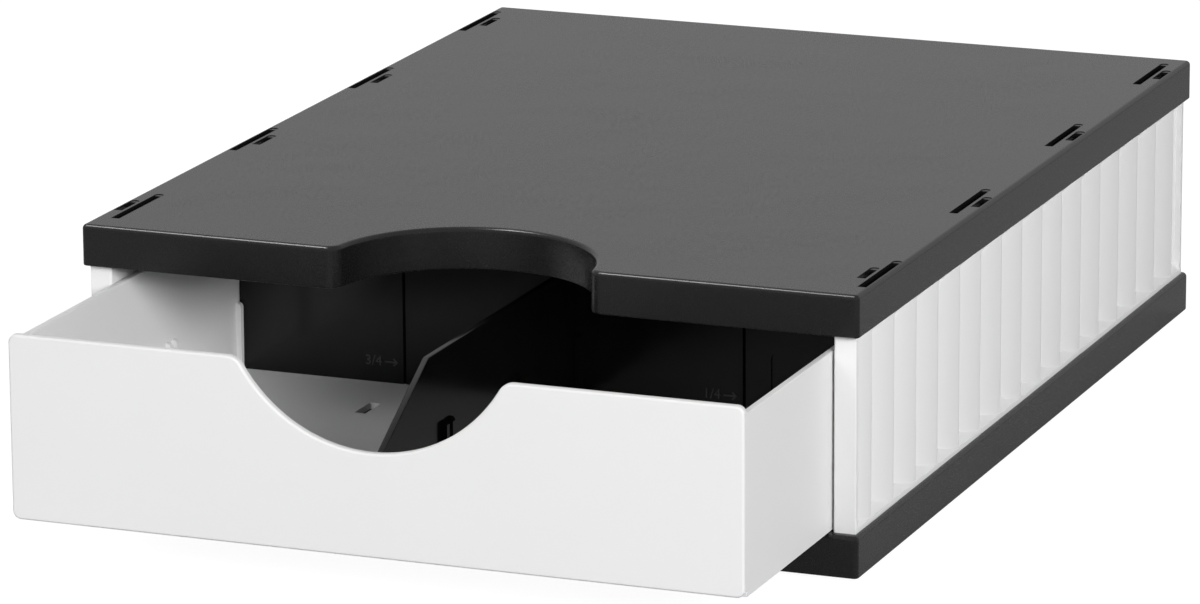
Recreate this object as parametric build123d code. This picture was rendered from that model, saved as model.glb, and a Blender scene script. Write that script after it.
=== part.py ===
from build123d import *
import os

# Desk letter tray: a drawer module of two moulded plates, two fluted side panels
# and a back panel that snap together, with a tray-shaped drawer on the base plate.
# Millimetres. X runs across the front, Y from the drawer front to the back, Z up.
# The origin is under the middle of the whole tray, on the desk, as the drawer stands
# pulled part way out.

# Plates: the top and the base are the same moulding, finger cut-out to the front
plate_width = 247.0
plate_depth = 331.0
plate_height = 12.8
plate_deck = 2.2
plate_rim = 1.6
plate_corner_radius = 1.5
plate_top_chamfer = 0.5
plate_low_chamfer = 0.4
finger_radius = 40.0
finger_depth = 38.5
finger_lip_radius = 4.5
plate_rib = 1.6
plate_rib_height = 5.0
cross_ribs = 5
long_ribs = 4

# Clear height between the plates, which is the height of the side panels
tier_height = 59.4

# Slot pairs down each side of a plate: one long slot and one short one
slot_width = 2.3
slot_outer = 2.8
slot_inner = 6.4
slot_long = 30.6
slot_short = 11.2
slot_pairs = 4
slot_first = 25.6
rail = 1.2
rail_clearance = 0.3
seat_rib_gap = 1.3

# Side panels
panel_thickness = 7.0
panel_inset = 1.5
panel_end_gap = 2.6
panel_skin = 2.0
panel_border = 5.0
panel_flange = 1.8
flute_pitch = 20.07
flute_first = 17.2
flute_depth = 2.4
flute_land = 0.5
shelf_low_band = 2.2
shelf_top_band = 0.7
shelf_slope = 1.5
pocket_rib = 3.0
tongue_down = 6.2
tongue_up = 11.3
tongue_clearance = 0.15
barb_proud = 0.5
barb_height = 1.0
barb_length = 15.0

# Back panel, held by its edges in a groove of each side panel
back_thickness = 2.5
back_setback = 8.0
back_groove = 1.2
back_lap = 4.4
back_clearance = 0.1

# Rubber feet on tubes of the base plate
foot_radius = 6.0
foot_proud = 1.0
foot_margin = 25.0
boss_radius = 6.6
boss_bore = 4.0

# Drawer
drawer_out = 69.3
drawer_length = 315.0
drawer_side_gap = 0.8
drawer_run_gap = 0.3
drawer_front_height = 56.0
drawer_wall_height = 53.8
drawer_front_wall = 2.6
drawer_wall = 2.0
drawer_floor = 2.0
drawer_floor_top = 6.1
front_corner_radius = 2.5
front_edge_chamfer = 0.6
wall_edge_radius = 0.6
inner_corner_radius = 3.0
notch_radius = 47.0
notch_depth = 24.8
notch_lip_radius = 5.0
skid = 2.0
skid_offset = 84.0
open_travel = 240.0
closed_setback = 3.0

# Stop lugs on the drawer walls, which meet the top plate's front rim
lug_length = 8.0
lug_ramp = 5.0
lug_catch = 2.3
stop_gap = 0.3

# Guides for the dividers, and the snap-in dividers themselves
guide_cells = 6
guide_rib_width = 2.0
guide_proud = 1.6
guide_height = 21.5
guide_tip_radius = 1.4
divider_thickness = 2.0
divider_height = 43.0
divider_fit = 0.25
floor_slot_width = 3.6
floor_slot_length = 12.2
floor_slot_place = 127.5
floor_tab_depth = 1.8
floor_tab_fit = 0.3
snap_groove_width = 1.1
snap_groove_depth = 0.7
niche_place = 66.9
niche_width = 4.2
niche_depth = 0.6
slope_start = 41.8
slope_low = 20.6

# Places worked out from the sizes
front_edge = -(plate_depth - drawer_out) / 2
plate_middle = front_edge + plate_depth / 2
back_edge = front_edge + plate_depth
base_low = foot_proud
base_top = base_low + plate_height
top_low = base_top + tier_height
panel_outer = plate_width / 2 - panel_inset
panel_inner = panel_outer - panel_thickness
panel_front = front_edge + panel_end_gap
panel_back = back_edge - panel_end_gap
drawer_width = 2 * (panel_inner - drawer_side_gap)
drawer_inside = drawer_width - 2 * drawer_wall
drawer_front = front_edge - drawer_out
drawer_low = base_top + drawer_run_gap
pair_pitch = (plate_depth - 2 * slot_first) / (slot_pairs - 1)
back_face = back_edge - back_setback - back_thickness
quarter = drawer_inside / 4
guide_pitch = (drawer_length - drawer_front_wall - drawer_wall) / guide_cells
guide_gap = divider_thickness + 2 * divider_fit
divider_low = drawer_floor_top
divider_top = divider_low + divider_height
middle_guide = drawer_front_wall + guide_pitch * guide_cells / 2
rail_outer = plate_width / 2 - slot_inner - slot_width / 2 - rail_clearance
rail_inner = rail_outer - rail

# How far a piece reaches into the one that it is fused with, and the least radius of a corner
overlap = 0.4
least_radius = 0.4


def block(x0, x1, y0, y1, z0, z1):
    """A rectangular block between two corners."""
    return Pos((x0 + x1) / 2, (y0 + y1) / 2, (z0 + z1) / 2) * Box(x1 - x0, y1 - y0, z1 - z0)


def at_height(shape, z, tolerance=0.01):
    """The edges of a shape that lie flat at one height."""
    return [e for e in shape.edges() if abs(e.center().Z - z) < tolerance
            and e.bounding_box().size.Z < tolerance]


# Slots and the tongues that fit them
def slot_centres(long_ones):
    """Centre and length of each long slot, or of each short one, from the plate's middle."""
    length = slot_long if long_ones else slot_short
    centres = []
    for side in (-1, 1):
        near = side * (plate_width / 2 - slot_outer)
        far = side * (plate_width / 2 - slot_inner)
        low, high = min(near, far), max(near, far)
        for pair in range(slot_pairs):
            y = -plate_depth / 2 + slot_first + pair * pair_pitch
            long_x, short_x = (high, low) if pair == 0 else (low, high)
            centres.append((side, long_x if long_ones else short_x, y, length))
    return centres


def slot_cutters():
    z0 = plate_height - plate_deck - overlap
    z1 = plate_height + overlap
    cutters = []
    for long_ones in (True, False):
        for side, x, y, length in slot_centres(long_ones):
            cutters.append(block(x - slot_width / 2, x + slot_width / 2,
                                 y - length / 2, y + length / 2, z0, z1))
    return cutters


# Plate
def plate_outline(inset):
    """The plate seen from above, drawn in by an inset, with its finger cut-out."""
    width = plate_width - 2 * inset
    depth = plate_depth - 2 * inset
    cut_y = -plate_depth / 2 - (finger_radius - finger_depth)
    sheet = Rectangle(width, depth) - Pos(0, cut_y) * Circle(finger_radius + inset)
    lips = [v for v in sheet.vertices() if abs(v.X) < 2 * finger_radius]
    sheet = fillet(lips, max(finger_lip_radius - inset, least_radius))
    corners = sheet.vertices().filter_by(lambda v: abs(abs(v.X) - width / 2) < 0.01
                                         and abs(abs(v.Y) - depth / 2) < 0.01)
    return fillet(corners, max(plate_corner_radius - inset, least_radius))


def plate_ribs(pocket):
    """The rib grid under the deck, kept inside the rim, and the rails with their seat ribs."""
    z0 = plate_height - plate_deck - plate_rib_height
    z1 = plate_height - plate_deck + overlap
    grid = []
    for k in range(cross_ribs):
        y = -plate_depth / 2 + plate_depth * (k + 1) / (cross_ribs + 1)
        grid.append(block(-rail_inner, rail_inner, y - plate_rib / 2, y + plate_rib / 2, z0, z1))
    for k in range(long_ribs):
        x = -rail_inner + 2 * rail_inner * (k + 1) / (long_ribs + 1)
        grid.append(block(x - plate_rib / 2, x + plate_rib / 2, -plate_depth / 2, plate_depth / 2, z0, z1))
    for side in (-1, 1):
        low, high = sorted((side * rail_inner, side * rail_outer))
        grid.append(block(low, high, -plate_depth / 2, plate_depth / 2, 0, z1))
        low, high = sorted((side * (rail_inner + rail / 2), side * plate_width / 2))
        for pair in range(slot_pairs):
            middle = -plate_depth / 2 + slot_first + pair * pair_pitch
            for end in (-1, 1):
                y = middle + end * (slot_long / 2 + seat_rib_gap + plate_rib / 2)
                grid.append(block(low, high, y - plate_rib / 2, y + plate_rib / 2, 0, z1))
    return [piece & pocket for piece in grid]


def foot_places():
    x = plate_width / 2 - foot_margin
    y = plate_depth / 2 - foot_margin
    return [(-x, -y), (x, -y), (-x, y), (x, y)]


def make_plate():
    """One plate with its middle on the origin and its rim standing on Z = 0."""
    plate = extrude(plate_outline(0), amount=plate_height)
    plate = chamfer(at_height(plate, plate_height), plate_top_chamfer)
    plate = chamfer(at_height(plate, 0), plate_low_chamfer)
    pocket = extrude(plate_outline(plate_rim), amount=plate_height - plate_deck)
    reach = extrude(plate_outline(plate_rim / 2), amount=plate_height - plate_deck / 2)
    plate -= pocket
    bosses = []
    for x, y in foot_places():
        ring = Circle(boss_radius) - Circle(boss_bore)
        bosses.append(Pos(x, y) * extrude(ring, amount=plate_height - plate_deck / 2))
    plate += plate_ribs(reach)
    plate -= [Pos(x, y) * extrude(Circle(boss_bore), amount=plate_height - plate_deck)
              for x, y in foot_places()]
    plate += bosses
    return plate - slot_cutters()


# Side panels
def flute_ridges():
    count = int((panel_back - panel_front - panel_flange - flute_first + panel_end_gap) / flute_pitch) + 1
    return [front_edge + flute_first + k * flute_pitch for k in range(count)]


def panel_profile(side):
    """The panel seen from above, with its row of hollow flutes on the outer face."""
    length = panel_back - panel_front
    middle = (panel_front + panel_back) / 2
    sheet = Pos(side * (panel_outer + panel_inner) / 2, middle) * Rectangle(panel_thickness, length)
    chord = flute_pitch - flute_land
    radius = (chord ** 2 / 4 + flute_depth ** 2) / (2 * flute_depth)
    ridges = flute_ridges()
    centres = [ridges[0] - flute_pitch / 2] + [y + flute_pitch / 2 for y in ridges]
    x = side * (panel_outer - flute_depth + radius)
    sheet -= [Pos(x, y) * Circle(radius) for y in centres]
    wide = panel_thickness / 2
    for y in (panel_front + panel_flange / 2, panel_back - panel_flange / 2):
        sheet += Pos(side * (panel_outer - wide / 2), y) * Rectangle(wide, panel_flange)
    return sheet


def shelf(side, low, up):
    """The slanted shelf that closes the flutes at one end, along the whole panel."""
    band = shelf_low_band if up > 0 else shelf_top_band
    deep = flute_depth + overlap
    outer = side * panel_outer
    inner = side * (panel_outer - deep)
    corners = [(outer, low), (outer, low + up * band), (inner, low + up * (band + shelf_slope * deep)), (inner, low)]
    wedge = Plane.XZ * make_face(Polyline(*corners, close=True))
    return Pos(0, panel_back, 0) * extrude(wedge, amount=panel_back - panel_front)


def panel_pockets(side):
    """Hollows in the inner face, one behind each whole flute."""
    floor_x = side * (panel_outer - flute_depth - panel_skin)
    mouth_x = side * (panel_inner - overlap)
    low, high = sorted((floor_x, mouth_x))
    ridges = flute_ridges()
    pockets = []
    for y0, y1 in zip(ridges, ridges[1:]):
        pockets.append(block(low, high, y0 + pocket_rib / 2, y1 - pocket_rib / 2,
                             base_top + panel_border, top_low - panel_border))
    return pockets


def tongue(x, y, length, z, reach):
    """A tongue standing out of the panel at height z, up or down by its reach."""
    half = slot_width / 2 - tongue_clearance
    span = length / 2 - tongue_clearance
    low, high = sorted((z, z + reach))
    return block(x - half, x + half, plate_middle + y - span, plate_middle + y + span, low, high)


def barb(side, x, y):
    """The catch of a lower tongue, under the deck of the base plate."""
    half = slot_width / 2 - tongue_clearance
    middle = side * (plate_width / 2 - (slot_outer + slot_inner) / 2)
    towards = 1 if middle > x else -1
    low, high = sorted((x, x + towards * (half + barb_proud)))
    top = base_top - plate_deck - tongue_clearance
    return block(low, high, plate_middle + y - barb_length / 2, plate_middle + y + barb_length / 2,
                 top - barb_height, top)


def side_panel(side):
    panel = extrude(panel_profile(side), amount=tier_height)
    panel = Pos(0, 0, base_top) * panel
    panel += [shelf(side, base_top, 1), shelf(side, top_low, -1)]
    groove_low, groove_high = sorted((side * (panel_inner - overlap), side * (panel_inner + back_groove)))
    groove = block(groove_low, groove_high, back_face - back_clearance,
                   back_face + back_thickness + back_clearance, base_top - overlap, top_low + overlap)
    panel -= panel_pockets(side) + [groove]
    parts = []
    for where, x, y, length in slot_centres(True):
        if where == side:
            parts.append(tongue(x, y, length, base_top + overlap, -tongue_down - overlap))
            parts.append(barb(side, x, y))
    for where, x, y, length in slot_centres(False):
        if where == side:
            parts.append(tongue(x, y, length, top_low - overlap, tongue_up + overlap))
    return panel + parts


# Back panel
def make_back_panel():
    half = panel_inner + back_groove - back_clearance
    low = block(-half, half, back_face, back_face + back_thickness, base_top, top_low)
    half = rail_inner - 2 * back_clearance
    return low + block(-half, half, back_face, back_face + back_thickness,
                       top_low - overlap, top_low + back_lap)


# Feet
def make_feet():
    feet = []
    for x, y in foot_places():
        foot = Cylinder(foot_radius, foot_proud, align=(Align.CENTER, Align.CENTER, Align.MIN))
        feet.append(Pos(x, plate_middle + y, 0) * foot)
    return feet


# Guides, in pairs that hold a divider between them
def guide_rib():
    """One rib that stands out along +X from a wall at X = 0, with a rounded top."""
    blade = Pos((guide_proud - overlap) / 2, guide_height / 2) * Rectangle(guide_proud + overlap, guide_height)
    tip = [v for v in blade.vertices() if v.X > 0 and v.Y > guide_height / 2]
    blade = fillet(tip, guide_tip_radius)
    return extrude(Plane.XZ * blade, amount=guide_rib_width / 2, both=True)


def guide_pair(x, y, turn, z=drawer_floor_top):
    """Two ribs with room for a divider, on a wall that faces the given way."""
    rib = guide_rib()
    step = (guide_gap + guide_rib_width) / 2
    return [Pos(x, y, z) * Rot(0, 0, turn) * Pos(0, s * step, 0) * rib for s in (-1, 1)]


# Drawer, made with its front face on Y = 0 and its skids on Z = 0
def drawer_front_panel():
    height = drawer_front_height
    sheet = Pos(0, height / 2) * RectangleRounded(drawer_width, height, front_corner_radius)
    sheet -= Pos(0, height - notch_depth + notch_radius) * Circle(notch_radius)
    lips = [v for v in sheet.vertices() if abs(v.X) < notch_radius and abs(v.Y - height) < 0.01]
    sheet = fillet(lips, notch_lip_radius)
    panel = extrude(Plane.XZ * sheet, amount=-drawer_front_wall)
    face = [e for e in panel.edges() if e.center().Y < 0.01 and e.bounding_box().size.Y < 0.01]
    return chamfer(face, front_edge_chamfer)


def drawer_shell():
    """Walls, raised floor and the space under it."""
    half = drawer_width / 2
    shell = block(-half, half, drawer_front_wall, drawer_length, 0, drawer_wall_height)
    long_edges = [e for e in shell.edges() if abs(e.center().X) > half - 0.01 and e.center().Z < 0.01]
    shell = fillet(long_edges, wall_edge_radius)
    middle = (drawer_front_wall + drawer_length - drawer_wall) / 2
    length = drawer_length - drawer_front_wall - drawer_wall
    inside = RectangleRounded(drawer_inside, length, inner_corner_radius)
    room = Pos(0, middle, drawer_floor_top) * extrude(inside, amount=drawer_wall_height)
    under = Pos(0, middle, -overlap) * extrude(inside, amount=drawer_floor_top - drawer_floor + overlap)
    return shell - [room, under]


def drawer_guides():
    """Guide pairs on the four walls for cross dividers and lengthwise dividers."""
    ribs = []
    for cell in range(1, guide_cells):
        y = drawer_front_wall + cell * guide_pitch
        ribs += guide_pair(-drawer_inside / 2, y, 0)
        ribs += guide_pair(drawer_inside / 2, y, 180)
    for x in (-quarter, 0, quarter):
        ribs += guide_pair(x, drawer_front_wall, 90)
        ribs += guide_pair(x, drawer_length - drawer_wall, -90)
    return ribs


def floor_slots():
    half_w = floor_slot_width / 2
    half_l = floor_slot_length / 2
    z0 = drawer_floor_top - drawer_floor - overlap
    z1 = drawer_floor_top + overlap
    return [block(x - half_w, x + half_w, y - half_l, y + half_l, z0, z1)
            for x in (-quarter, 0, quarter)
            for y in (floor_slot_place, drawer_length - floor_slot_place)]


def stop_lug(side):
    """The lug on a side wall that meets the top plate's front rim when the drawer is open."""
    closed_front = front_edge + closed_setback
    face = front_edge + plate_rim + stop_gap + open_travel - closed_front
    top = top_low - drawer_low + lug_catch
    low = drawer_wall_height - overlap
    corners = [(face, low), (face, top), (face + lug_length - lug_ramp, top), (face + lug_length, low)]
    profile = Plane.YZ * make_face(Polyline(*corners, close=True))
    outer = side * drawer_width / 2
    inner = side * (drawer_width / 2 - drawer_wall)
    return Pos(min(outer, inner), 0, 0) * extrude(profile, amount=drawer_wall)


def make_drawer():
    drawer = drawer_shell() + drawer_front_panel()
    skids = [block(x - skid / 2, x + skid / 2, drawer_front_wall - overlap, drawer_length - drawer_wall + overlap,
                   0, drawer_floor_top - drawer_floor + overlap) for x in (-skid_offset, skid_offset)]
    drawer += skids + drawer_guides() + [stop_lug(-1), stop_lug(1)]
    return drawer - floor_slots()


# Dividers
def snap_groove(x, face_y, depth):
    """A V groove down a face of the cross divider, where it can be snapped off."""
    half = snap_groove_width / 2
    corners = [(x - half, face_y), (x + half, face_y), (x, face_y + depth)]
    vee = make_face(Polyline(*corners, close=True))
    return Pos(0, 0, divider_low - overlap) * extrude(vee, amount=divider_height + 2 * overlap)


def make_cross_divider():
    half = drawer_inside / 2 - divider_fit
    front = middle_guide - divider_thickness / 2
    back = middle_guide + divider_thickness / 2
    sheet = block(-half, half, front, back, divider_low, divider_top)
    sheet -= [snap_groove(x, front, snap_groove_depth) for x in (-quarter, quarter)]
    sheet -= [snap_groove(x, back, -snap_groove_depth) for x in (-quarter, quarter)]
    niche = Pos(niche_place, 0) * Rectangle(niche_width, 2 * (guide_height - niche_width / 2))
    niche += Pos(niche_place, guide_height - niche_width / 2) * Circle(niche_width / 2)
    niche_cut = Pos(0, front + niche_depth, divider_low) * extrude(Plane.XZ * niche, amount=niche_depth + overlap)
    sheet -= niche_cut
    return sheet + guide_pair(0, front, -90, divider_low)


def make_length_divider():
    front = drawer_front_wall + divider_fit
    back = middle_guide - divider_thickness / 2 - divider_fit
    corners = [(front, divider_low), (back, divider_low), (back, divider_top),
               (slope_start, divider_top), (front, divider_low + slope_low)]
    profile = Plane.YZ * make_face(Polyline(*corners, close=True))
    sheet = extrude(profile, amount=divider_thickness / 2, both=True)
    half = divider_thickness / 2
    for cell in range(1, guide_cells // 2):
        y = drawer_front_wall + cell * guide_pitch
        sheet += guide_pair(half, y, 0, divider_low)
        sheet += guide_pair(-half, y, 180, divider_low)
    tab = floor_slot_length / 2 - floor_tab_fit
    return sheet + block(-half, half, floor_slot_place - tab, floor_slot_place + tab,
                         divider_low - floor_tab_depth, divider_low + overlap)


# Saving
def save(name, shape):
    shape.label = name
    export_step(shape, os.path.join("parts", name + ".step"))


def main():
    os.makedirs("parts", exist_ok=True)
    plate = make_plate()
    in_drawer = Pos(0, drawer_front, drawer_low)
    save("base_plate", Pos(0, plate_middle, base_low) * plate)
    save("top_plate", Pos(0, plate_middle, top_low) * plate)
    save("left_side_panel", side_panel(-1))
    save("right_side_panel", side_panel(1))
    save("back_panel", make_back_panel())
    save("rubber_feet", Compound(children=make_feet()))
    save("drawer_tray", in_drawer * make_drawer())
    save("cross_divider", in_drawer * make_cross_divider())
    save("length_divider", in_drawer * make_length_divider())


main()
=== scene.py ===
import math

import bpy
import bmesh
from mathutils import Euler, Matrix, Vector


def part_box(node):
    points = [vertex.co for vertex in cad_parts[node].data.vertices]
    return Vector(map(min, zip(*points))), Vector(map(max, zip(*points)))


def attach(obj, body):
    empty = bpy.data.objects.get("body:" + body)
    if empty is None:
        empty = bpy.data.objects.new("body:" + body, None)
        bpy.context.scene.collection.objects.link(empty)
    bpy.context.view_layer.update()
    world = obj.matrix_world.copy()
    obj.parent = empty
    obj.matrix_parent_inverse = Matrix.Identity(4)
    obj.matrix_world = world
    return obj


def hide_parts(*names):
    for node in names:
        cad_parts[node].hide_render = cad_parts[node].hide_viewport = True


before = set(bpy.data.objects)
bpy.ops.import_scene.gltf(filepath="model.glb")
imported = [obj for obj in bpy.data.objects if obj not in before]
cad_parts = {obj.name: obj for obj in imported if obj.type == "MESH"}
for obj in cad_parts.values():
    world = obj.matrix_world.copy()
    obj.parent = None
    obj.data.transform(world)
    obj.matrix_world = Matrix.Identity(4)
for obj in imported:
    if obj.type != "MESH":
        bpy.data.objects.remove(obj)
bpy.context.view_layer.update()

bl_info = {
    "name": "Desk letter tray",
    "version": (1, 0, 0),
    "blender": (4, 5, 0),
    "location": "View3D > Sidebar > Letter tray",
    "description": "Models the plates, fluted panels, drawer and dividers of a desk letter tray",
    "category": "Add Mesh",
}

HOUSING = "housing"
DRAWER = "drawer"
MM = 0.001
TINY = 0.01 * MM
OVERLAP = 0.4 * MM
LEAST_RADIUS = 0.4 * MM
UP = Vector((0, 0, 1))
QUARTER_TURN = math.pi / 2
TUBE_STEPS = 48
CORNER_STEPS = 6
NOTCH_STEPS = 68
LIP_STEPS = 12
FLUTE_STEPS = 12
SLOT_END_STEPS = 12
NICHE_STEPS = 16
FLOOR_STEPS = 64


# Properties, with sizes given in millimetres and kept in metres
def length(name, description, millimetres):
    return bpy.props.FloatProperty(
        name=name, description=description, default=millimetres * MM, min=0.0,
        subtype="DISTANCE", unit="LENGTH", precision=5)


def colour(name, description, red, green, blue):
    return bpy.props.FloatVectorProperty(
        name=name, description=description, default=(red, green, blue, 1.0), size=4,
        min=0.0, max=1.0, subtype="COLOR")


def share(name, description, value):
    return bpy.props.FloatProperty(
        name=name, description=description, default=value, min=0.0, max=1.0, subtype="FACTOR")


def power(name, description, watts):
    return bpy.props.FloatProperty(name=name, description=description, default=watts, min=0.0, unit="POWER")


def count(name, description, value):
    return bpy.props.IntProperty(name=name, description=description, default=value, min=1)


class PlateSizes(bpy.types.PropertyGroup):
    deck: length("Deck", "Thickness of the plate's flat top", 2.2)
    rim: length("Rim", "Thickness of the wall round the plate", 1.6)
    corner: length("Corner radius", "Radius of the plate's corners, seen from above", 1.5)
    top_round: length("Top edge", "Rounding along the plate's upper edge", 1.4)
    low_round: length("Lower edge", "Rounding along the rim's lower edge", 0.45)
    finger_radius: length("Finger radius", "Radius of the finger cut-out", 40.0)
    finger_depth: length("Finger depth", "How far that cut-out reaches in", 38.5)
    finger_lip: length("Finger lip", "Rounding where it meets the front edge", 4.5)
    rib: length("Rib", "Thickness of the ribs under the deck", 1.6)
    rib_height: length("Rib height", "Height of the ribs under the deck", 5.0)
    cross_ribs: count("Cross ribs", "Ribs that run across the plate", 5)
    long_ribs: count("Long ribs", "Ribs that run from front to back", 4)
    rail: length("Rail", "Thickness of the rail beside the slots", 1.2)
    rail_clearance: length("Rail clearance", "Room between the inner slots and the rail", 0.3)
    seat_gap: length("Seat gap", "Room between a slot and the rib at its end", 1.3)
    slot: length("Slot width", "Width of a slot", 2.7)
    slot_outer: length("Outer slots", "From the plate's side to its outer slots", 2.7)
    slot_inner: length("Inner slots", "From the plate's side to its inner slots", 6.35)
    slot_long: length("Long slot", "Length of the long slots", 30.6)
    slot_short: length("Short slot", "Length of the short slots", 11.2)
    slot_first: length("First pair", "From the front edge to the first pair's middle", 25.6)
    slot_pairs: count("Pairs", "Pairs of slots down each side", 4)
    slot_step: length("Slot step", "Length of the step behind each slot", 2.1)
    slot_step_wide: length("Step width", "How far that step is wider than the slot, on each side", 0.1)
    slot_step_depth: length("Step depth", "Depth of that step", 0.2)
    boss: length("Foot boss", "Radius of the tube over each foot", 6.6)
    boss_bore: length("Boss bore", "Radius of the hole in that tube", 4.0)
    foot_set_in: length("Foot set-in", "How much smaller a foot's radius is than its tube's", 0.6)
    foot_round: length("Foot rounding", "Rounding along the lower edge of each foot", 0.3)


class PanelSizes(bpy.types.PropertyGroup):
    pitch: length("Flute pitch", "From one ridge to the next", 20.07)
    first: length("First ridge", "From the plate's front to the first ridge", 17.2)
    depth: length("Flute depth", "Depth of a flute behind a ridge", 4.6)
    step: length("Flute step", "Length of the slope behind a ridge", 1.4)
    ridge_round: length("Ridge rounding", "Rounding along each ridge", 1.5)
    corner_round: length("Corner rounding", "Rounding of the panel's outer corners", 0.4)
    mouth: length("Mouth rounding", "Rounding of the inner edges in front and below", 0.9)
    flange: length("Flange", "Thickness of the full flange at each end", 1.8)
    skin: length("Skin", "Thickness left behind a flute", 1.2)
    border: length("Border", "Height of the bands above and below the hollows", 5.0)
    rib: length("Rib", "Thickness of the ribs between the hollows", 3.0)
    low_band: length("Lower band", "Height of the band under the flutes", 1.5)
    top_band: length("Upper band", "Height of the band over the flutes", 0.7)
    slope: share("Shelf slope", "Rise of the shelves, as a share of two to one", 0.51)
    tongue: length("Tongue", "Thickness of the tongues in the slots", 2.0)
    clearance: length("Clearance", "Room between a tongue and its slot", 0.15)
    barb_height: length("Barb height", "Height of the catch on a lower tongue", 1.0)
    barb_length: length("Barb length", "Length of the catch on a lower tongue", 15.0)
    barb_proud: length("Barb", "How far the catch stands out", 0.5)
    groove: length("Groove", "Depth of the back panel's groove", 1.2)
    back_gap: length("Back gap", "Room between the back panel's top and the rails", 0.2)


class DrawerSizes(bpy.types.PropertyGroup):
    front: length("Front", "Thickness of the drawer front", 2.6)
    wall: length("Wall", "Thickness of the drawer's walls", 2.0)
    wall_height: length("Wall height", "Height of the side and rear walls", 53.8)
    front_height: length("Front height", "Height of the drawer front", 56.0)
    floor: length("Floor", "Thickness of the drawer's floor", 2.0)
    floor_top: length("Floor top", "Height of the floor's upper face", 6.1)
    corner: length("Front corners", "Radius of the drawer front's corners", 2.5)
    inner_corner: length("Inner corners", "Radius of the corners inside the drawer", 3.0)
    edge: length("Front edge", "Rounding round the drawer front", 0.8)
    wall_edge: length("Wall edge", "Rounding along the walls", 0.45)
    notch_radius: length("Notch radius", "Radius of the finger notch", 47.0)
    notch_depth: length("Notch depth", "Depth of the finger notch", 24.8)
    notch_lip: length("Notch lip", "Rounding at the ends of the notch", 5.0)
    skid: length("Skid", "Thickness of the skids under the floor", 2.0)
    skid_offset: length("Skid offset", "From the drawer's middle to each skid", 84.0)
    cells: count("Cells", "Spaces between guides along the drawer", 6)
    guide_width: length("Guide width", "Width of one guide rib", 2.0)
    guide_proud: length("Guide depth", "How far a guide rib stands out", 1.6)
    guide_height: length("Guide height", "Height of a guide rib above the floor", 21.5)
    guide_tip: length("Guide tip", "Rounding at the upper end of a guide rib", 1.4)
    slot_width: length("Slot width", "Width of the holes in the floor", 3.6)
    slot_length: length("Slot length", "Length of the holes in the floor", 12.2)
    slot_place: length("Slot place", "From the drawer's front to the holes", 127.5)
    lug: length("Stop lug", "Length of the stop lugs at their foot", 8.0)
    lug_ramp: length("Lug ramp", "Length of the slope behind each lug", 5.0)
    lug_place: length("Lug place", "From the drawer's front to the lugs", 238.9)


class DividerSizes(bpy.types.PropertyGroup):
    thickness: length("Thickness", "Thickness of both dividers", 2.0)
    fit: length("Fit", "Room between a divider and its guides", 0.25)
    tab_fit: length("Tab fit", "Room between the floor tab's ends and its hole", 0.3)
    edge: length("Edge", "Rounding along the dividers' edges", 0.35)
    groove: length("Snap groove", "Width of the snap grooves", 1.1)
    groove_depth: length("Groove depth", "Depth of those grooves", 0.7)
    niche_place: length("Recess place", "From the middle to the shallow recess", 66.9)
    niche_width: length("Recess width", "Width of the shallow recess", 4.2)
    niche_depth: length("Recess depth", "Depth of the shallow recess", 0.6)
    slope_start: length("Slope start", "From the drawer's front to the slope's upper end", 41.8)
    slope_low: length("Slope foot", "Height of the divider's front end", 20.6)
    mark_height: length("Mark", "Height of the figures", 3.1)
    mark_proud: length("Mark relief", "How far the figures stand out", 0.18)
    mark_up: length("Mark place", "From the divider's foot to the figures' middle", 6.7)
    mark_tip: length("Arrow tip", "From the arrow's tip to the snap groove", 2.3)
    arrow_length: length("Arrow length", "Length of each arrow", 4.4)
    arrow_stroke: length("Arrow stroke", "Width of the lines of each arrow", 0.5)
    figures_end: length("Figures' end", "From the arrow's tip to the figures' end", 5.3)


class Finishes(bpy.types.PropertyGroup):
    plate: colour("Plates", "Black plastic of the plates", 0.0085, 0.0082, 0.0088)
    shell: colour("White parts", "White plastic of panels and drawer", 0.83, 0.83, 0.83)
    divider: colour("Dividers", "Black plastic of the dividers", 0.002, 0.002, 0.002)
    marks: colour("Marks", "Raised figures on the cross divider", 0.05, 0.05, 0.05)
    rubber: colour("Feet", "Rubber of the feet", 0.035, 0.035, 0.036)
    plate_roughness: share("Plate roughness", "Roughness of the plates", 0.27)
    shell_roughness: share("White roughness", "Roughness of the white parts", 0.45)
    mark_roughness: share("Mark roughness", "Roughness of the raised figures", 0.55)
    divider_roughness: share("Divider roughness", "Roughness of the dividers", 0.16)


class StageSizes(bpy.types.PropertyGroup):
    floor: colour("Floor", "Colour of the floor", 0.35, 0.35, 0.35)
    reach: length("Floor reach", "Radius of the round floor", 9000.0)
    floor_white: share("Floor white", "Share of the floor's white that needs no light", 0.95)
    floor_gloss: share("Floor in gloss", "How white reflections see the floor", 0.2)
    world_gloss: share("Backdrop in gloss", "How white reflections see the backdrop", 0.53)
    horizon: share("Horizon light", "Strength of the light from low down", 0.15)
    zenith: share("Overhead light", "Strength of the light from overhead", 0.08)
    front_power: power("Front soft box", "Power of the lamp in front", 31.0)
    fill_power: power("Fill soft box", "Power of the lamp in front, to the right", 68.0)
    side_power: power("Side soft box", "Power of the lamp behind, to the right", 3.0)
    rear_power: power("Rear soft box", "Power of the lamp behind, to the left", 50.0)
    edge_power: power("Edge soft box", "Power of the lamp that draws glints on edges", 36.0)


# Modelling helpers, each one a few steps of Blender's own tools
def deselect():
    bpy.ops.object.select_all(action="DESELECT")


def alone(obj):
    """Selects one object only and makes it the active one."""
    deselect()
    obj.select_set(True)
    bpy.context.view_layer.objects.active = obj


def settle(obj):
    """Applies an object's place, turn and size to its mesh."""
    alone(obj)
    bpy.ops.object.transform_apply(location=True, rotation=True, scale=True)
    return obj


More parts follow.
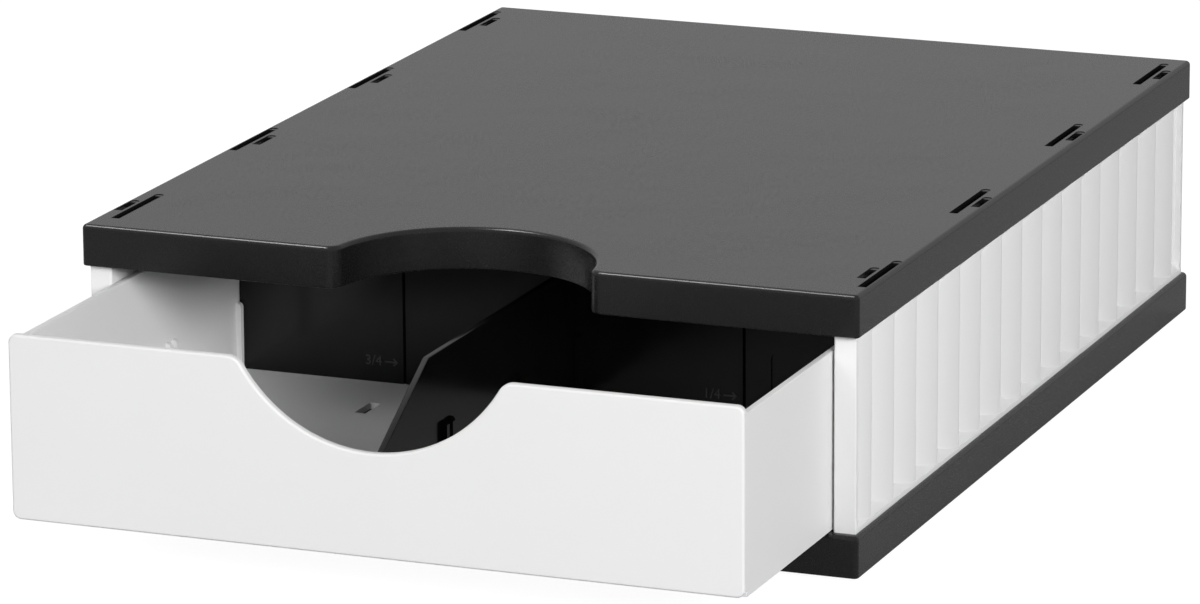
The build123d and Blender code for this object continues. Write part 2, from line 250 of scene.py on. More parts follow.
def block(low, high):
    """A cube primitive stretched between two corners."""
    low, high = Vector(low), Vector(high)
    deselect()
    bpy.ops.mesh.primitive_cube_add(size=1, location=(low + high) / 2, scale=high - low)
    return settle(bpy.context.object)


def bar(x, y, half_x, half_y, low, high):
    """A block round an upright line, between two heights."""
    return block((x - half_x, y - half_y, low), (x + half_x, y + half_y, high))


def tube(radius, low, high, spot):
    """A cylinder primitive that stands upright between two heights."""
    deselect()
    bpy.ops.mesh.primitive_cylinder_add(
        vertices=TUBE_STEPS, radius=radius, depth=high - low, location=(*spot, (low + high) / 2))
    return settle(bpy.context.object)


def pick_edges(obj, test):
    """Goes into edit mode with only the edges selected whose two ends pass the test."""
    alone(obj)
    bpy.ops.object.mode_set(mode="EDIT")
    bpy.ops.mesh.select_mode(type="EDGE")
    bpy.ops.mesh.select_all(action="DESELECT")
    mesh = bmesh.from_edit_mesh(obj.data)
    for edge in mesh.edges:
        edge.select_set(test(edge.verts[0].co, edge.verts[1].co))
    mesh.select_flush_mode()
    bmesh.update_edit_mesh(obj.data)


def edit_all(obj):
    """Goes into edit mode with the whole mesh selected."""
    alone(obj)
    bpy.ops.object.mode_set(mode="EDIT")
    bpy.ops.mesh.select_all(action="SELECT")


def leave_edit():
    bpy.ops.object.mode_set(mode="OBJECT")


def face_outwards(obj):
    """Merges a mesh's doubles and turns its faces out."""
    edit_all(obj)
    bpy.ops.mesh.remove_doubles(threshold=TINY / 2)
    bpy.ops.mesh.normals_make_consistent(inside=False)
    leave_edit()
    return obj


def round_edges(obj, test, width, steps=3):
    """Bevels the edges that pass the test."""
    pick_edges(obj, test)
    bpy.ops.mesh.bevel(offset=width, offset_type="OFFSET", segments=steps, profile=0.5, affect="EDGES")
    leave_edit()
    return obj


def slanted(obj, test, shift):
    """Moves the edges that pass the test."""
    pick_edges(obj, test)
    bpy.ops.transform.translate(value=shift)
    leave_edit()
    return obj


def flat_at(height, axis=2):
    """A test for edges that lie at one height, or at one place along another axis."""
    return lambda a, b: abs(a[axis] - height) < TINY and abs(b[axis] - height) < TINY


def upright(a, b):
    """A test for edges that stand upright."""
    return abs(a.x - b.x) < TINY and abs(a.y - b.y) < TINY


def trace(start, moves, thickness):
    """Draws an outline in the XY plane, fills it and gives it a thickness along Z.

    A move is a step (dx, dy), or an arc (centre x, centre y, angle, steps) made by a spin."""
    deselect()
    bpy.ops.mesh.primitive_plane_add(size=MM, location=(*start, 0))
    obj = settle(bpy.context.object)
    edit_all(obj)
    bpy.ops.mesh.select_mode(type="VERT")
    bpy.ops.mesh.merge(type="CENTER")
    for move in moves:
        if len(move) == 2:
            bpy.ops.mesh.extrude_region_move(TRANSFORM_OT_translate={"value": (move[0], move[1], 0)})
        else:
            bpy.ops.mesh.spin(steps=move[3], angle=-move[2], center=(move[0], move[1], 0), axis=UP)
    bpy.ops.mesh.select_all(action="SELECT")
    bpy.ops.mesh.remove_doubles(threshold=TINY)
    bpy.ops.mesh.edge_face_add()
    bpy.ops.mesh.extrude_region_move(TRANSFORM_OT_translate={"value": (0, 0, thickness)})
    leave_edit()
    return face_outwards(obj)


def place(obj, offset=(0, 0, 0), turn=(0, 0, 0)):
    """Turns an object about the origin, moves it, and applies both."""
    obj.rotation_euler = Euler(turn)
    obj.location = Vector(offset)
    return settle(obj)


def copy_of(obj):
    """A copy with a mesh of its own."""
    twin = obj.copy()
    twin.data = obj.data.copy()
    bpy.context.collection.objects.link(twin)
    return twin


def mirrored(obj):
    """A copy on the other side of X = 0, with its faces turned out again."""
    twin = copy_of(obj)
    twin.scale.x = -1
    return face_outwards(settle(twin))


def joined(pieces):
    """Several objects as one."""
    alone(pieces[0])
    for piece in pieces:
        piece.select_set(True)
    if len(pieces) > 1:
        bpy.ops.object.join()
    return pieces[0]


def combine(obj, pieces, operation):
    """Adds pieces to an object or cuts them out of it, and uses them up."""
    tool = joined(pieces)
    alone(obj)
    step = obj.modifiers.new("combine", "BOOLEAN")
    step.operation = operation
    step.solver = "EXACT"
    step.use_self = operation == "UNION"
    step.object = tool
    bpy.ops.object.modifier_apply(modifier=step.name)
    bpy.data.objects.remove(tool)
    return obj


def add(obj, pieces):
    return combine(obj, pieces, "UNION")


def cut(obj, pieces):
    return combine(obj, pieces, "DIFFERENCE")


def finish(obj, name, body, slot, material, *nodes, smooth=30):
    """Smooths a piece's rounded edges, gives it its material, parents it to its body's empty and hides the
    CAD parts it replaces.
    """
    obj.name = name
    obj.data.name = name
    edit_all(obj)
    bpy.ops.mesh.remove_doubles(threshold=TINY / 10)
    leave_edit()
    bpy.ops.object.shade_smooth_by_angle(angle=math.radians(smooth))
    step = obj.modifiers.new("even shading", "WEIGHTED_NORMAL")
    step.keep_sharp = True
    bpy.ops.object.modifier_apply(modifier=step.name)
    obj.data.materials.clear()
    obj.data.materials.append(material_named(material))
    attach(obj, body)
    if nodes:
        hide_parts(*nodes)
    return obj


# Materials
PLASTIC_IOR = 1.5
FLOW_MARKS = 45 * MM
GRAIN_IN_GLOSS = 0.06
GRAIN_STRENGTH = 0.35
SPECKLE = 0.4 * MM
RUBBER_ROUGHNESS = 0.8


class Value:
    """A socket of a material, which Python's operators join with Math nodes."""

    def __init__(self, paint, socket):
        self.paint = paint
        self.socket = socket

    def math(self, operation, first, second):
        return self.paint.node("ShaderNodeMath", {"operation": operation}, {0: first, 1: second})

    def most(self, other):
        return self.math("MAXIMUM", self, other)

    def __add__(self, other):
        return self.math("ADD", self, other)

    def __sub__(self, other):
        return self.math("SUBTRACT", self, other)

    def __rsub__(self, other):
        return self.math("SUBTRACT", other, self)

    def __mul__(self, other):
        return self.math("MULTIPLY", self, other)

    __radd__ = __add__
    __rmul__ = __mul__


class Paint:
    """A node tree in the making, to which one method adds every node."""

    def __init__(self, owner):
        self.owner = owner
        owner.use_nodes = True
        self.tree = owner.node_tree
        self.tree.nodes.clear()

    def node(self, kind, settings=None, inputs=None, output=0):
        made = self.tree.nodes.new(kind)
        for key, value in (settings or {}).items():
            setattr(made, key, value)
        for key, value in (inputs or {}).items():
            if isinstance(value, Value):
                self.tree.links.new(value.socket, made.inputs[key])
            else:
                made.inputs[key].default_value = value
        return Value(self, made.outputs[output]) if made.outputs else made

    def noise(self, where, size, detail=2.0, roughness=0.5):
        return self.node("ShaderNodeTexNoise", {}, {
            "Vector": where, "Scale": 1 / size, "Detail": detail, "Roughness": roughness}, "Fac")

    def bumps(self, strength, depth, height):
        return self.node("ShaderNodeBump", {}, {
            "Strength": strength, "Distance": depth, "Height": height}, "Normal")

    def mixed(self, factor, first, second):
        return self.node("ShaderNodeMix", {"data_type": "RGBA"}, {0: factor, 6: first, 7: second}, 2)

    def done(self, shader):
        self.node("ShaderNodeOutputMaterial", {}, {"Surface": shader})
        return self.owner


def tinted(base, factor):
    """A colour made lighter or darker."""
    return tuple(min(1.0, part * factor) for part in base[:3]) + (1.0,)


def moulded_plastic(name, base, roughness, grain, depth, uneven, level):
    """Injection-moulded plastic: a fine spark-eroded grain, slow flow marks and a slightly uneven gloss."""
    paint = Paint(bpy.data.materials.new(name))
    where = paint.node("ShaderNodeTexCoord", output="Object")
    fine = paint.noise(where, grain, 3.0, 0.6)
    flow = paint.noise(where, FLOW_MARKS, 3.0)
    shade = paint.mixed(flow, tinted(base, 1 - uneven), tinted(base, 1 + uneven))
    gloss = roughness + (flow - 0.5) * uneven + (fine - 0.5) * GRAIN_IN_GLOSS
    return paint.done(paint.node("ShaderNodeBsdfPrincipled", {}, {
        "Base Color": shade, "Roughness": gloss, "Normal": paint.bumps(GRAIN_STRENGTH, depth, fine),
        "IOR": PLASTIC_IOR, "Specular IOR Level": level}))


def soft_rubber(name, base):
    """Dull rubber with a fine speckle."""
    paint = Paint(bpy.data.materials.new(name))
    where = paint.node("ShaderNodeTexCoord", output="Object")
    fine = paint.noise(where, SPECKLE, 4.0)
    shade = paint.mixed(fine, tinted(base, 0.8), tinted(base, 1.3))
    return paint.done(paint.node("ShaderNodeBsdfPrincipled", {}, {
        "Base Color": shade, "Roughness": RUBBER_ROUGHNESS + (fine - 0.5) * 0.2,
        "Normal": paint.bumps(0.5, 0.05 * MM, fine)}))


def material_named(name):
    """A finish of this tray, made the first time that a piece asks for it."""
    known = bpy.data.materials.get(name)
    if known:
        return known
    look = bpy.context.scene.tray_finishes
    if name == "black plates":
        return moulded_plastic(name, look.plate, look.plate_roughness,
                               grain=0.35 * MM, depth=0.006 * MM, uneven=0.02, level=0.37)
    if name == "white shell":
        return moulded_plastic(name, look.shell, look.shell_roughness,
                               grain=0.5 * MM, depth=0.006 * MM, uneven=0.012, level=0.25)
    if name == "black dividers":
        return moulded_plastic(name, look.divider, look.divider_roughness,
                               grain=0.6 * MM, depth=0.01 * MM, uneven=0.06, level=0.38)
    if name == "matt marks":
        return moulded_plastic(name, look.marks, look.mark_roughness,
                               grain=0.3 * MM, depth=0.01 * MM, uneven=0.06, level=0.3)
    return soft_rubber(name, look.rubber)


# Shapes that more than one piece uses
def notch_moves(radius, lip, centre, edge):
    """The half width of a round notch with rounded lips, and the moves that trace it left to right.

    The notch's circle has its centre on x = 0 at height centre, and cuts the line y = edge
    of a sheet that lies above the line."""
    across = math.sqrt((radius + lip) ** 2 - (edge + lip - centre) ** 2)
    lean = math.atan2(centre - edge - lip, across)
    turn = lean + QUARTER_TURN
    return across, [
        (-across, edge + lip, turn, LIP_STEPS),
        (0, centre, -(math.pi + 2 * lean), NOTCH_STEPS),
        (across, edge + lip, turn, LIP_STEPS),
    ]


def rounded_sheet(low, high, radius, thickness, notch=None):
    """A rectangle with rounded corners, a thickness along Z and perhaps a notch in its first side."""
    left, right = low[0] + radius, high[0] - radius
    front, back = low[1] + radius, high[1] - radius
    moves = [(right - left, 0)]
    if notch:
        across, arcs = notch
        flat = (right - left) / 2 - across
        moves = [(flat, 0), *arcs, (flat, 0)]
    moves += [
        (right, front, QUARTER_TURN, CORNER_STEPS), (0, back - front),
        (right, back, QUARTER_TURN, CORNER_STEPS), (left - right, 0),
        (left, back, QUARTER_TURN, CORNER_STEPS), (0, front - back),
        (left, front, QUARTER_TURN, CORNER_STEPS),
    ]
    return trace((left, low[1]), moves, thickness)


def slot_places(sizes, width, depth):
    """Side, kind, place and length of every slot, with the plate's middle at the origin."""
    pitch = (depth - 2 * sizes.slot_first) / (sizes.slot_pairs - 1)
    for side in (-1, 1):
        rows = sorted(side * (width / 2 - inset) for inset in (sizes.slot_outer, sizes.slot_inner))
        for pair in range(sizes.slot_pairs):
            y = -depth / 2 + sizes.slot_first + pair * pitch
            long_x, short_x = reversed(rows) if pair == 0 else rows
            yield side, "long", long_x, y, sizes.slot_long
            yield side, "short", short_x, y, sizes.slot_short


# Plates
def finger_centre(sizes, depth):
    """Where the finger cut-out's circle has its centre, from the plate's middle."""
    return sizes.finger_depth - sizes.finger_radius - depth / 2


def plate_sheet(sizes, width, depth, inset, thickness):
    """The plate seen from above, drawn in by an inset, with its finger cut-out."""
    x, y = width / 2 - inset, depth / 2 - inset
    corner = max(sizes.corner - inset, LEAST_RADIUS)
    lip = max(sizes.finger_lip - inset, LEAST_RADIUS)
    notch = notch_moves(sizes.finger_radius + inset, lip, finger_centre(sizes, depth), -y)
    return rounded_sheet((-x, -y), (x, y), corner, thickness, notch)


def plate_ribs(sizes, width, depth, height):
    """The rib grid, the rails and the short ribs that seat the tongues."""
    rail_out = width / 2 - sizes.slot_inner - sizes.slot / 2 - sizes.rail_clearance
    rail_in = rail_out - sizes.rail
    low, high = height - sizes.deck - sizes.rib_height, height - sizes.deck + OVERLAP
    half, inside = sizes.rib / 2, depth / 2 - sizes.rim / 2
    rows = [depth * (k + 1) / (sizes.cross_ribs + 1) - depth / 2 for k in range(sizes.cross_ribs)]
    ribs = [bar(0, y, rail_in + sizes.rail / 2, half, low, high) for y in rows]
    centre = finger_centre(sizes, depth)
    ring = sizes.finger_radius + sizes.rim / 2
    for k in range(sizes.long_ribs):
        x = -rail_in + 2 * rail_in * (k + 1) / (sizes.long_ribs + 1)
        start = centre + math.sqrt(ring ** 2 - x ** 2) if abs(x) < ring else -inside
        ribs.append(block((x - half, start, low), (x + half, inside, high)))
    for side in (-1, 1):
        a, b = sorted((side * rail_in, side * rail_out))
        ribs.append(block((a, -inside, 0), (b, inside, high)))
    for side, kind, x, y, size in slot_places(sizes, width, depth):
        if kind == "long":
            a, b = sorted((side * (rail_in + sizes.rail / 2), side * (width / 2 - sizes.rim / 2)))
            beyond = size / 2 + sizes.seat_gap + half
            ribs += [bar((a + b) / 2, y + end, (b - a) / 2, half, 0, high) for end in (-beyond, beyond)]
    return ribs


def slot_cutter(sizes, size, height):
    """A slot's cutter in the middle of the plate, with a shallow rounded step behind the slot."""
    half, end = sizes.slot / 2, size / 2
    opening = bar(0, 0, half, end, height - sizes.deck - OVERLAP, height + OVERLAP)
    round_end = half + sizes.slot_step_wide
    moves = [(2 * round_end, 0), (0, sizes.slot_step - round_end + OVERLAP),
             (0, end + sizes.slot_step - round_end, math.pi, SLOT_END_STEPS)]
    step = trace((-round_end, end - OVERLAP), moves, sizes.slot_step_depth + OVERLAP)
    return add(opening, [place(step, (0, 0, height - sizes.slot_step_depth))])


def foot_spots():
    """The middle of each foot, read from the frame."""
    low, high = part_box("rubber_feet")
    sizes = bpy.context.scene.tray_plates
    radius = sizes.boss - sizes.foot_set_in
    return [(x, y) for x in (low.x + radius, high.x - radius) for y in (low.y + radius, high.y - radius)]


class TRAY_OT_plates(bpy.types.Operator):
    """Models the ribbed plate once and places it as the top and as the base"""
    bl_idname = "tray.plates"
    bl_label = "Plates"

    def execute(self, context):
        sizes = context.scene.tray_plates
        low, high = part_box("base_plate")
        width, depth, height = high - low
        middle = (low + high) / 2
        plate = plate_sheet(sizes, width, depth, 0, height)
        round_edges(plate, flat_at(height), sizes.top_round, 5)
        round_edges(plate, flat_at(0), sizes.low_round, 2)
        pocket = plate_sheet(sizes, width, depth, sizes.rim, height - sizes.deck + OVERLAP)
        cut(plate, [place(pocket, (0, 0, -OVERLAP))])
        add(plate, plate_ribs(sizes, width, depth, height))
        spots = [(x - middle.x, y - middle.y) for x, y in foot_spots()]
        roof = height - sizes.deck
        add(plate, [tube(sizes.boss, 0, roof + OVERLAP, spot) for spot in spots])
        cut(plate, [tube(sizes.boss_bore, -OVERLAP, roof, spot) for spot in spots])
        cutters = {kind: slot_cutter(sizes, size, height)
                   for kind, size in (("long", sizes.slot_long), ("short", sizes.slot_short))}
        cut(plate, [place(copy_of(cutters[kind]), (x, y, 0))
                    for _, kind, x, y, _ in slot_places(sizes, width, depth)])
        for cutter in cutters.values():
            bpy.data.objects.remove(cutter)
        for name, node in (("top_board", "top_plate"), ("base_board", "base_plate")):
            board = place(copy_of(plate), (middle.x, middle.y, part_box(node)[0].z))
            finish(board, name, HOUSING, "black_plastic", "black plates", node)
        bpy.data.objects.remove(plate)
        return {"FINISHED"}


# Side panels
RIDGE_SLANT = math.radians(3.5)


def fluted_sheet(sizes, inner, outer, front, back, ridges, height):
    """The right panel seen from above: straight inside. Outside, each flute steps in behind a ridge
    and swells out again to the next ridge, which its surface meets at a slight slant."""
    swell = sizes.pitch - sizes.step
    foot_slant = 2 * math.atan(sizes.depth / swell) - RIDGE_SLANT
    radius = swell / (math.sin(foot_slant) - math.sin(RIDGE_SLANT))
    axis = outer - radius * math.cos(RIDGE_SLANT)

    def slant_at(y, ridge):
        return math.asin((ridge - y) / radius + math.sin(RIDGE_SLANT))

    def arc(ridge, start, end):
        return axis, ridge + radius * math.sin(RIDGE_SLANT), start - end, FLUTE_STEPS

    beyond = ridges[-1] + sizes.pitch
    first, last = slant_at(front + sizes.flange, ridges[0]), slant_at(back - sizes.flange, beyond)
    moves = [(outer - inner, 0), (0, sizes.flange), (axis + radius * math.cos(first) - outer, 0),
             arc(ridges[0], first, RIDGE_SLANT)]
    for ridge in ridges[1:]:
        moves += [(-sizes.depth, sizes.step), arc(ridge, foot_slant, RIDGE_SLANT)]
    moves += [(-sizes.depth, sizes.step), arc(beyond, foot_slant, last)]
    moves += [(outer - axis - radius * math.cos(last), 0), (0, sizes.flange), (inner - outer, 0)]
    return trace((inner, front), moves, height)


def shelf(sizes, outer, front, back, low, up):
    """The slanted shelf that closes the flutes at one end."""
    band = sizes.low_band if up > 0 else sizes.top_band
    deep = sizes.depth + OVERLAP
    rise = 2 * sizes.slope * deep
    tip = low + up * (band + rise)
    a, b = sorted((low, tip))
    ledge = block((outer - deep, front, a), (outer - TINY, back, b))
    rim = outer - 2 * TINY
    return slanted(ledge, lambda p, q: flat_at(tip)(p, q) and min(p.x, q.x) > rim, (0, 0, -up * rise))


def tongues(panel, plate, side):
    """The tongues of one side panel: long ones below, with a catch each, and short ones above."""
    plate_low, plate_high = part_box("base_plate")
    top_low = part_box("top_plate")[0].z
    panel_low, panel_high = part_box("left_side_panel")
    middle = (plate_low + plate_high) / 2
    width, depth = (plate_high - plate_low).xy
    half = panel.tongue / 2
    made = []
    for which, kind, x, y, size in slot_places(plate, width, depth):
        if which != side:
            continue
        span = size / 2 - panel.clearance
        y += middle.y
        if kind == "short":
            made.append(bar(x, y, half, span, top_low - OVERLAP, panel_high.z - OVERLAP))
            continue
        made.append(bar(x, y, half, span, panel_low.z, plate_high.z + OVERLAP))
        centre = side * (width / 2 - (plate.slot_outer + plate.slot_inner) / 2)
        a, b = sorted((x, x + math.copysign(half + panel.barb_proud, centre - x)))
        top = plate_high.z - plate.deck - panel.clearance
        grip = panel.barb_length / 2
        made.append(block((a, y - grip, top - panel.barb_height), (b, y + grip, top)))
    return made


class TRAY_OT_side_panels(bpy.types.Operator):
    """Models the two fluted side panels with their tongues"""
    bl_idname = "tray.side_panels"
    bl_label = "Side panels"

    def execute(self, context):
        sizes, plate = context.scene.tray_panels, context.scene.tray_plates
        base_low, base_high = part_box("base_plate")
        foot, roof = base_high.z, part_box("top_plate")[0].z
        low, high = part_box("right_side_panel")
        inner, outer = low.x, high.x
        ridges = []
        y = base_low.y + sizes.first
        while y < high.y - sizes.flange:
            ridges.append(y)
            y += sizes.pitch
        panel = fluted_sheet(sizes, inner, outer, low.y, high.y, ridges, roof - foot)
        inside = sizes.flange + TINY
        round_edges(panel, lambda a, b: upright(a, b) and min(a.x, b.x) > outer - TINY
                    and low.y + inside < a.y < high.y - inside, sizes.ridge_round, 4)
        round_edges(panel, lambda a, b: upright(a, b) and min(a.x, b.x) > outer - TINY
                    and (a.y < low.y + TINY or a.y > high.y - TINY), sizes.corner_round, 2)
        round_edges(panel, lambda a, b: upright(a, b) and max(a.x, b.x) < inner + TINY
                    and max(a.y, b.y) < low.y + TINY, sizes.mouth)
        round_edges(panel, lambda a, b: flat_at(0)(a, b) and max(a.x, b.x) < inner + TINY, sizes.mouth)
        place(panel, (0, 0, foot))
        add(panel, [shelf(sizes, outer, low.y, high.y, level, up) for level, up in ((foot, 1), (roof, -1))])
        floor = outer - sizes.depth - sizes.skin
        hollows = [block((inner - OVERLAP, a + sizes.rib / 2, foot + sizes.border),
                         (floor, b - sizes.rib / 2, roof - sizes.border))
                   for a, b in zip(ridges, ridges[1:])]
        back_low, back_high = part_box("back_panel")
        room = sizes.clearance
        hollows.append(block((inner - OVERLAP, back_low.y - room, foot - OVERLAP),
                             (inner + sizes.groove, back_high.y + room, roof + OVERLAP)))
        cut(panel, hollows)
        for side, body, name, node in ((1, panel, "right_fluted_panel", "right_side_panel"),
                                       (-1, mirrored(panel), "left_fluted_panel", "left_side_panel")):
            add(body, tongues(sizes, plate, side))
            finish(body, name, HOUSING, "white_plastic", "white shell", node, smooth=25)
        return {"FINISHED"}


class TRAY_OT_back_panel(bpy.types.Operator):
    """Models the back panel, with its upper edge let into the top plate"""
    bl_idname = "tray.back_panel"
    bl_label = "Back panel"

    def execute(self, context):
        low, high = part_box("back_panel")
        plate, panel = context.scene.tray_plates, context.scene.tray_panels
        top_low, top_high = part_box("top_plate")
        reach = top_high.x - plate.slot_inner - plate.slot / 2 - plate.rail_clearance - plate.rail
        reach -= panel.back_gap
        back = block(low, (high.x, high.y, top_low.z))
        round_edges(back, upright, panel.clearance)
        add(back, [block((-reach, low.y, top_low.z - OVERLAP), (reach, high.y, high.z))])
        finish(back, "rear_panel", HOUSING, "white_plastic", "white shell", "back_panel")
        return {"FINISHED"}


class TRAY_OT_feet(bpy.types.Operator):
    """Models one rubber foot and copies it to the four corners"""
    bl_idname = "tray.feet"
    bl_label = "Rubber feet"

    def execute(self, context):
        low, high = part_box("rubber_feet")
        spots = foot_spots()
        radius = spots[0][0] - low.x
        width = context.scene.tray_plates.foot_round
        pads = [round_edges(tube(radius, low.z, high.z, spot), flat_at(low.z), width) for spot in spots]
        finish(joined(pads), "foot_pads", HOUSING, "foot_rubber", "foot rubber", "rubber_feet")
        return {"FINISHED"}


# Drawer
def quarter_width(sizes):
    """From the drawer's middle to the guides half way to its side walls."""
    low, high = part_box("drawer_tray")
    return (high.x - low.x - 2 * sizes.wall) / 4


def guide_rib(sizes, sink):
    """One guide rib that stands out along +X from a wall at X = 0, with a rounded top."""
    flat, tall = sizes.guide_proud - sizes.guide_tip, sizes.guide_height - sizes.guide_tip
    moves = [(sizes.guide_proud + OVERLAP, 0), (0, tall + sink)]
    moves += [(flat, tall, QUARTER_TURN, CORNER_STEPS), (-flat - OVERLAP, 0)]
    rib = trace((-OVERLAP, -sink), moves, sizes.guide_width)
    return place(rib, (0, sizes.guide_width / 2, 0), (QUARTER_TURN, 0, 0))


def guide_pair(sizes, dividers, x, y, z, turn, sink=0.0):
    """Two guide ribs with room for a divider, on a wall that faces the given way."""
    step = (dividers.thickness + 2 * dividers.fit + sizes.guide_width) / 2
    pair = []
    for side in (-1, 1):
        rib = place(guide_rib(sizes, sink), (0, side * step, 0))
        pair.append(place(rib, (x, y, z), (0, 0, turn)))
    return pair


def drawer_front(sizes, width):
    """The drawer front with rounded corners and its finger notch, standing on Z = 0."""
    top = sizes.front_height
    centre = sizes.notch_depth - sizes.notch_radius - top
    notch = notch_moves(sizes.notch_radius, sizes.notch_lip, centre, -top)
    front = rounded_sheet((-width / 2, -top), (width / 2, 0), sizes.corner, sizes.front, notch)
    return place(front, turn=(-QUARTER_TURN, 0, 0))


def drawer_lug(sizes, side, width, top):
    """A stop lug on a side wall, with a ramp behind it."""
    low = sizes.wall_height - sizes.wall_edge - OVERLAP
    a, b = sorted((side * (width / 2 - TINY), side * (width / 2 - sizes.wall + TINY)))
    far = sizes.lug_place + sizes.lug
    lug = block((a, sizes.lug_place, low), (b, far, top))
    return slanted(lug, lambda p, q: flat_at(top)(p, q) and flat_at(far, 1)(p, q), (0, -sizes.lug_ramp, 0))


class TRAY_OT_drawer(bpy.types.Operator):
    """Models the drawer: front with its finger notch, walls, raised floor, guides and stop lugs"""
    bl_idname = "tray.drawer"
    bl_label = "Drawer"

    def execute(self, context):
        sizes, dividers = context.scene.tray_drawer, context.scene.tray_dividers
        low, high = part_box("drawer_tray")
        width, depth, height = high - low
        half, wall = width / 2, sizes.wall
        tray = block((-half, sizes.front - OVERLAP, 0), (half, depth, sizes.wall_height))
        brim = flat_at(sizes.wall_height)
        round_edges(tray, lambda a, b: brim(a, b) and max(a.y, b.y) > sizes.front, sizes.wall_edge, 2)
        inside_low = (-half + wall, sizes.front - 2 * OVERLAP)
        inside_high = (half - wall, depth - wall)
        room = rounded_sheet(inside_low, inside_high, sizes.inner_corner, sizes.wall_height)
        hollow = rounded_sheet(inside_low, inside_high, sizes.inner_corner,
                               sizes.floor_top - sizes.floor + OVERLAP)
        cut(tray, [place(room, (0, 0, sizes.floor_top))])
        cut(tray, [place(hollow, (0, 0, -OVERLAP))])
        seam = sizes.front - OVERLAP + TINY
        round_edges(tray, lambda a, b: brim(a, b) and max(abs(a.x), abs(b.x)) < half - wall + TINY
                    and seam < max(a.y, b.y) < depth - wall + TINY, sizes.wall_edge, 2)
        face = drawer_front(sizes, width)
        round_edges(face, flat_at(0, 1), sizes.edge, 4)
        round_edges(face, lambda a, b: flat_at(sizes.front, 1)(a, b)
                    and (min(a.z, b.z) > sizes.wall_height - TINY or max(abs(a.x), abs(b.x)) < half - wall),
                    sizes.wall_edge, 2)
        parts = [face, drawer_lug(sizes, -1, width, height), drawer_lug(sizes, 1, width, height)]
        under = sizes.floor_top - sizes.floor + OVERLAP
        for x in (-sizes.skid_offset, sizes.skid_offset):
            parts.append(block((x - sizes.skid / 2, sizes.front - OVERLAP, 0),
                               (x + sizes.skid / 2, depth - wall + OVERLAP, under)))
        step = (depth - sizes.front - wall) / sizes.cells
        for cell in range(1, sizes.cells):
            y = sizes.front + cell * step
            parts += guide_pair(sizes, dividers, wall - half, y, sizes.floor_top, 0, OVERLAP)
            parts += guide_pair(sizes, dividers, half - wall, y, sizes.floor_top, math.pi, OVERLAP)
        quarter = quarter_width(sizes)
        for x in (-quarter, 0, quarter):
            parts += guide_pair(sizes, dividers, x, sizes.front, sizes.floor_top, QUARTER_TURN, OVERLAP)
            parts += guide_pair(sizes, dividers, x, depth - wall, sizes.floor_top, -QUARTER_TURN, OVERLAP)
        add(tray, parts)
        cut(tray, [bar(x, y, sizes.slot_width / 2, sizes.slot_length / 2, 0, sizes.floor_top + OVERLAP)
                   for x in (-quarter, 0, quarter) for y in (sizes.slot_place, depth - sizes.slot_place)])
        edit_all(tray)
        bpy.ops.mesh.fill_holes(sides=3)
        leave_edit()
        place(tray, ((low.x + high.x) / 2, low.y, low.z))
        finish(tray, "drawer_box", DRAWER, "white_plastic", "white shell", "drawer_tray")
        return {"FINISHED"}


# Dividers
class TRAY_OT_cross_divider(bpy.types.Operator):
    """Models the cross divider with its snap grooves, guides and shallow recess"""
    bl_idname = "tray.cross_divider"
    bl_label = "Cross divider"

    def execute(self, context):
        sizes, tray = context.scene.tray_dividers, context.scene.tray_drawer
        low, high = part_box("cross_divider")
        face = low.y + tray.guide_proud
        sheet = block((low.x, face, low.z), high)
        round_edges(sheet, flat_at(high.z), sizes.edge, 3)
        quarter, half, past = quarter_width(tray), sizes.groove / 2, OVERLAP / 4
        cutters = []
        for x in (-quarter, quarter):
            for y, inward in ((face, 1), (high.y, -1)):
                vee = trace((x - half, y - inward * past),
                            [(2 * half, 0), (-half, inward * (sizes.groove_depth + past))],
                            high.z - low.z + 2 * OVERLAP)
                cutters.append(place(vee, (0, 0, low.z - OVERLAP)))
        radius = sizes.niche_width / 2
        tall = tray.guide_height - radius
        niche = trace((sizes.niche_place - radius, OVERLAP),
                      [(2 * radius, 0), (0, -tall - OVERLAP),
                       (sizes.niche_place, -tall, -math.pi, NICHE_STEPS)],
                      sizes.niche_depth + OVERLAP)
        cutters.append(place(niche, (0, face - OVERLAP, low.z), (-QUARTER_TURN, 0, 0)))
        cut(sheet, cutters)
        add(sheet, guide_pair(tray, sizes, 0, face, low.z, -QUARTER_TURN))
        finish(sheet, "cross_wall", DRAWER, "divider_plastic", "black dividers", "cross_divider")
        return {"FINISHED"}


LETTER_SIZE = 1.45
ARROW_HEAD = 0.42


def figures(text, height, proud, right, up, face):
    """Raised figures that end at a place on the cross divider's front face."""
    deselect()
    bpy.ops.object.text_add(location=(0, 0, 0))
    words = bpy.context.object
    words.data.body = text
    words.data.align_x = "RIGHT"
    words.data.align_y = "CENTER"
    words.data.size = height * LETTER_SIZE
    words.data.extrude = proud
    words.data.resolution_u = 3
    bpy.ops.object.convert(target="MESH")
    return place(bpy.context.object, (right, face, up), (QUARTER_TURN, 0, 0))


def arrow(reach, stroke, height, proud, right, up, face):
    """A raised arrow that points along +X, with its tip at a place on the divider's front face."""
    head = height * ARROW_HEAD
    notch, slant = stroke / 2 + stroke * math.sqrt(2), stroke / math.sqrt(2)
    lower = [(-reach, -stroke / 2), (-notch, -stroke / 2), (-head - slant, slant - head), (-head, -head)]
    corners = lower + [(0, 0)] + [(x, -y) for x, y in reversed(lower)]
    moves = [(b[0] - a[0], b[1] - a[1]) for a, b in zip(corners, corners[1:])]
    sign = place(trace(corners[0], moves, 2 * proud), (0, 0, -proud))
    return place(sign, (right, face, up), (QUARTER_TURN, 0, 0))


